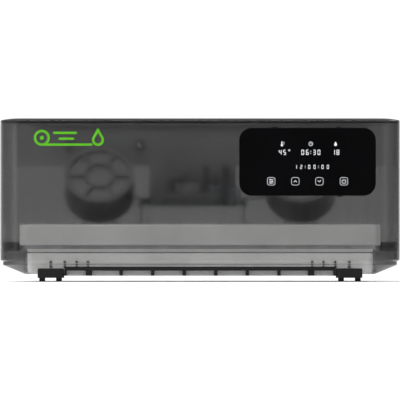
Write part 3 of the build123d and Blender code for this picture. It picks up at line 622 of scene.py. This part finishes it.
# Four touch keys: a list, up, down and power
KEYS = (101.5, 135.9, 170.2, 205.2)
KEY_Z = 143.2
KEY_OUT = 11.4
KEY_IN = 10.3
bm = bmesh.new()
for kx in KEYS:
    rim = rounded(kx, KEY_Z, KEY_OUT, KEY_OUT, 3.2)
    opening = rounded(kx, KEY_Z, KEY_IN, KEY_IN, 2.7)
    add_band(bm, rim, opening, LIT_BACK, LIT_FRONT)
for k, dx in enumerate((-1.2, 1.4, -0.4)):
    z = KEY_Z + 2.4 - 2.4 * k
    add_outline(bm, rounded(KEYS[0], z, 6.4, 0.8, 0.35, 2), LIT_BACK, LIT_FRONT)
    add_outline(bm, circle(KEYS[0] + dx, z, 1.0, 12), LIT_BACK, LIT_OVER)
for kx, way in ((KEYS[1], 1), (KEYS[2], -1)):
    tip, wing = KEY_Z + 1.6 * way, KEY_Z - 0.9 * way
    arrow = [(kx - 2.3, wing), (kx, tip), (kx + 2.3, wing), (kx + 2.3, wing - 1.0 * way),
             (kx, tip - 1.2 * way), (kx - 2.3, wing - 1.0 * way)]
    add_outline(bm, arrow, LIT_BACK, LIT_FRONT)
arc_out, arc_in = (circle(KEYS[3], KEY_Z - 0.3, r, 24, 120, 300) for r in (3.2, 2.4))
add_outline(bm, arc_out + list(reversed(arc_in)), LIT_BACK, LIT_FRONT)
add_outline(bm, rounded(KEYS[3], KEY_Z + 1.9, 0.8, 3.6, 0.35, 2), LIT_BACK, LIT_FRONT)
finish_mesh("display_keys", bm, lit_dim)


# ---------------------------------------------------------------- small parts on the board
def add_cuboid(bm, x0, x1, y0, y1, z0, z1):
    """A block between two corners, in mm."""
    centre = ((x0 + x1) / 2 * MM, (y0 + y1) / 2 * MM, (z0 + z1) / 2 * MM)
    size = ((x1 - x0) * MM, (y1 - y0) * MM, (z1 - z0) * MM)
    bmesh.ops.create_cube(bm, size=1.0, matrix=Matrix.Translation(centre) @ Matrix.Diagonal((*size, 1.0)))


BOARD_Z = 112.1          # just inside the board's upper face, mm
LEG_PITCH = 1.3
LEG_HALF = 0.22
LEG_LEN = 1.0
PASSIVES = 70            # small two-ended packages
TURNS = 9                # bands of the transformer's winding
TURN_PITCH = 3.0
TURN_HALF = 1.1
# centre x and y, width and depth
CHIPS = (
    (-6.0, 118.0, 11.0, 11.0), (61.5, 116.0, 5.0, 9.0), (-62.0, 112.0, 8.0, 5.0),
    (-80.0, 94.6, 6.0, 4.0), (18.0, 134.0, 7.0, 5.0), (38.0, 95.5, 9.0, 5.0),
)
chips = bmesh.new()
legs = bmesh.new()
for cx, cy, w, d in CHIPS:
    add_cuboid(chips, cx - w / 2, cx + w / 2, cy - d / 2, cy + d / 2, BOARD_Z + 0.2, BOARD_Z + 1.9)
    count = max(int(w / LEG_PITCH), 2)
    for k in range(count):
        lx = cx - w / 2 + w * (k + 0.5) / count
        for near in (cy - d / 2 - LEG_LEN, cy + d / 2):
            add_cuboid(legs, lx - LEG_HALF, lx + LEG_HALF, near, near + LEG_LEN, BOARD_Z, BOARD_Z + 0.7)
finish_mesh("board_chips", chips, black_plastic, bevel=0.15)
finish_mesh("board_legs", legs, case_metal)
rnd = random.Random(7)
passives = bmesh.new()
for k in range(PASSIVES):
    px, py = rnd.uniform(-88, 66), rnd.uniform(91.5, 98.0 if k % 2 else 138.0)
    w, d = (1.6, 0.8) if rnd.random() < 0.5 else (0.8, 1.6)
    add_cuboid(passives, px - w / 2, px + w / 2, py - d / 2, py + d / 2, BOARD_Z, BOARD_Z + 0.5)
finish_mesh("board_passives", passives, gasket_rubber, bevel=0.08)
winding_tape = moulded("winding_tape", (0.098, 0.092, 0.084), 0.38)
turns = bmesh.new()
for k in range(TURNS):
    z = 120.5 + TURN_PITCH * k
    add_cuboid(turns, -48.2, -23.3, 106.8, 127.2, z - TURN_HALF, z + TURN_HALF)
finish_mesh("transformer_winding", turns, winding_tape, bevel=0.9)


# ---------------------------------------------------------------- screws on the deck
SCREW_STEPS = 20


def add_screw(bm, x, y, z, r, h):
    """Pan-head screw standing on z, with a cross recess."""
    profile = [(r, 0.0), (r, h * 0.35), (r * 0.9, h * 0.72), (r * 0.62, h)]
    angles = [2 * math.pi * k / SCREW_STEPS for k in range(SCREW_STEPS)]

    def loop(radii, height):
        return [bm.verts.new(((x + pr * math.cos(a)) * MM, (y + pr * math.sin(a)) * MM, (z + height) * MM))
                for pr, a in zip(radii, angles)]

    loops = [loop([pr] * SCREW_STEPS, pz) for pr, pz in profile]
    cross = [r * (0.16 + 0.34 * math.cos(2 * a) ** 2) for a in angles]
    loops.append(loop(cross, h))
    loops.append(loop(cross, h * 0.5))
    for below, above in zip(loops, loops[1:]):
        for k in range(SCREW_STEPS):
            j = (k + 1) % SCREW_STEPS
            bm.faces.new((below[k], below[j], above[j], above[k]))
    bm.faces.new(loops[-1])
    bm.faces.new(list(reversed(loops[0])))


CRADLE_FOOT_T = 2.5      # flanges that the screws stand on, mm
BRACKET_FOOT_T = 1.5
DECK_SCREWS = ((250.0, -148.0), (28.0, -148.0), (250.0, 60.0), (250.0, 142.0), (28.0, 60.0))
screws = bmesh.new()
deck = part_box("spool_tray")[1][2] / MM
for pod_x in (-145.0, 145.0):
    for dx in (-20.8, 20.8):
        add_screw(screws, pod_x + dx, 116.0, deck + CRADLE_FOOT_T, 2.6, 1.6)
for leg_x in (-80.0, 68.0):
    for leg_y in (95.0, 135.0):
        add_screw(screws, leg_x, leg_y, deck + BRACKET_FOOT_T, 1.7, 1.2)
for sx in (-1, 1):
    for x, y in DECK_SCREWS:
        add_screw(screws, sx * x, y, deck, 2.4, 1.5)
finish_mesh("deck_screws", screws, screw_steel)

# ---------------------------------------------------------------- raised grip bands on the rollers
BANDS = 9
BAND_R = 0.00915         # metres
BAND_W = 0.0026
for bay in "abcd":
    for row in ("front", "rear"):
        node = f"roller_{bay}_{row}"
        low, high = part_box(node)
        bands = bmesh.new()
        cy, cz = (low[1] + high[1]) / 2, (low[2] + high[2]) / 2
        for k in range(BANDS):
            x = low[0] + (high[0] - low[0]) * (k + 1) / (BANDS + 1)
            spin = Matrix.Translation((x, cy, cz)) @ Matrix.Rotation(math.radians(90), 4, "Y")
            bmesh.ops.create_cone(bands, cap_ends=True, segments=40, radius1=BAND_R, radius2=BAND_R,
                                  depth=BAND_W, matrix=spin)
        finish_mesh(f"{node}_grip", bands, pad_rubber, node, bevel=0.3)

# ---------------------------------------------------------------- contacts in the mains inlet
CONTACT_HALF_W = 1.06
CONTACT_HALF_H = 2.06
CONTACT_Y = (142.2, 156.08)
contacts = bmesh.new()
inlet_low, inlet_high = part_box("power_inlet")
pin_x = (inlet_low[0] + inlet_high[0]) / 2 / MM
pin_z = (inlet_low[2] + inlet_high[2]) / 2 / MM
for dx, dz in ((-7.0, -2.0), (7.0, -2.0), (0.0, 2.0)):
    cx, cz = pin_x + dx, pin_z + dz
    add_cuboid(contacts, cx - CONTACT_HALF_W, cx + CONTACT_HALF_W, *CONTACT_Y,
               cz - CONTACT_HALF_H, cz + CONTACT_HALF_H)
finish_mesh("inlet_contacts", contacts, brass, bevel=0.3)

# ---------------------------------------------------------------- studio
FLOOR_HALF = 2.4         # metres
FLOOR_Z = -0.0002        # just clear of the foot pads
floor_mesh = bpy.data.meshes.new("studio_floor")
fb = bmesh.new()
bmesh.ops.create_grid(fb, x_segments=8, y_segments=8, size=FLOOR_HALF)
fb.to_mesh(floor_mesh)
fb.free()
floor = bpy.data.objects.new("studio_floor", floor_mesh)
bpy.context.scene.collection.objects.link(floor)
floor.location.z = FLOOR_Z
paper = Shader("studio_paper", (0.93, 0.93, 0.93), 0.9, specular=0.0)
paper.bump(paper.noise(60.0, 3.0), 0.0002, 0.2)
floor_mesh.materials.append(paper.mat)
floor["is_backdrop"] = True

world = bpy.data.worlds.new("studio")
bpy.context.scene.world = world
world.use_nodes = True
wt = world.node_tree
wt.nodes.clear()


def world_node(kind, **values):
    node = wt.nodes.new(kind)
    for key, value in values.items():
        setattr(node, key, value)
    return node


def world_range(value, from_low, from_high, to_low, to_high):
    node = world_node("ShaderNodeMapRange", interpolation_type="SMOOTHSTEP")
    for socket, number in zip(RANGE_SOCKETS, (from_low, from_high, to_low, to_high)):
        node.inputs[socket].default_value = number
    wt.links.new(value, node.inputs["Value"])
    return node.outputs["Result"]


def world_times(a, b):
    node = world_node("ShaderNodeMath", operation="MULTIPLY")
    wt.links.new(a, node.inputs[0])
    wt.links.new(b, node.inputs[1])
    return node.outputs[0]


def world_light(strength):
    node = world_node("ShaderNodeBackground")
    node.inputs["Color"].default_value = (1.0, 1.0, 1.0, 1.0)
    node.inputs["Strength"].default_value = strength
    return node


# The sky is brightest overhead and to the left, dimmer to the sides, and has a dark flag high behind.
direction = world_node("ShaderNodeTexCoord")
axes = world_node("ShaderNodeSeparateXYZ")
wt.links.new(direction.outputs["Generated"], axes.inputs["Vector"])
overhead = world_range(axes.outputs["Z"], -0.1, 1.0, 1.05, 1.85)
across = world_range(axes.outputs["X"], -0.9, 0.9, 1.15, 0.55)
front = world_range(axes.outputs["Y"], -0.985, -0.80, 0.05, 1.0)
behind = world_range(axes.outputs["Y"], 0.86, 0.99, 1.0, 0.72)
level = world_times(world_times(overhead, across), world_times(front, behind))
sideways = world_node("ShaderNodeMath", operation="ABSOLUTE")
wt.links.new(axes.outputs["X"], sideways.inputs[0])
level = world_times(level, world_range(sideways.outputs[0], 0.45, 0.85, 1.0, 0.38))
flag_high = world_range(axes.outputs["Z"], 0.08, 0.26, 0.0, 0.8)
flag_far = world_range(axes.outputs["Y"], 0.40, 0.72, 0.0, 1.0)
flag = world_node("ShaderNodeMath", operation="SUBTRACT")
flag.inputs[0].default_value = 1.0
wt.links.new(world_times(flag_high, flag_far), flag.inputs[1])
level = world_times(level, flag.outputs[0])
soft = world_light(1.0)
wt.links.new(level, soft.inputs["Strength"])
plain = world_light(1.05)
rays = world_node("ShaderNodeLightPath")
either = world_node("ShaderNodeMixShader")
wt.links.new(rays.outputs["Is Camera Ray"], either.inputs["Fac"])
wt.links.new(soft.outputs["Background"], either.inputs[1])
wt.links.new(plain.outputs["Background"], either.inputs[2])
surface = world_node("ShaderNodeOutputWorld")
wt.links.new(either.outputs["Shader"], surface.inputs["Surface"])


def softbox(name, place, aim, size, power):
    """A round lamp that faces aim."""
    light = bpy.data.lights.new(name, "AREA")
    light.shape = "DISK"
    light.size = size
    light.energy = power
    obj = bpy.data.objects.new(name, light)
    obj.location = place
    obj.rotation_euler = (Vector(aim) - Vector(place)).to_track_quat("-Z", "Y").to_euler()
    bpy.context.scene.collection.objects.link(obj)


softbox("key_soft", (-1.5, -1.5, 2.2), (0, 0, 0.1), 1.4, 26)
softbox("rear_soft", (1.2, 1.8, 2.0), (0, 0, 0.1), 1.2, 12)

scene = bpy.context.scene
scene.view_settings.view_transform = "Standard"
LENS = 1600.0            # long enough to leave almost no perspective
SENSOR_W = 36.0
FRAME_W = 0.571          # width seen at FRAME_Y, metres
FRAME_Y = -0.1365
EYE_Z = 0.1165
camera_data = bpy.data.cameras.new("camera")
camera_data.lens = LENS
camera_data.sensor_width = SENSOR_W
camera_data.clip_end = 200.0
camera = bpy.data.objects.new("camera", camera_data)
camera.location = (0.0, FRAME_Y - FRAME_W * LENS / SENSOR_W, EYE_Z)
camera.rotation_euler = (math.radians(90), 0, 0)
scene.collection.objects.link(camera)
scene.camera = camera

low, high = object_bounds()
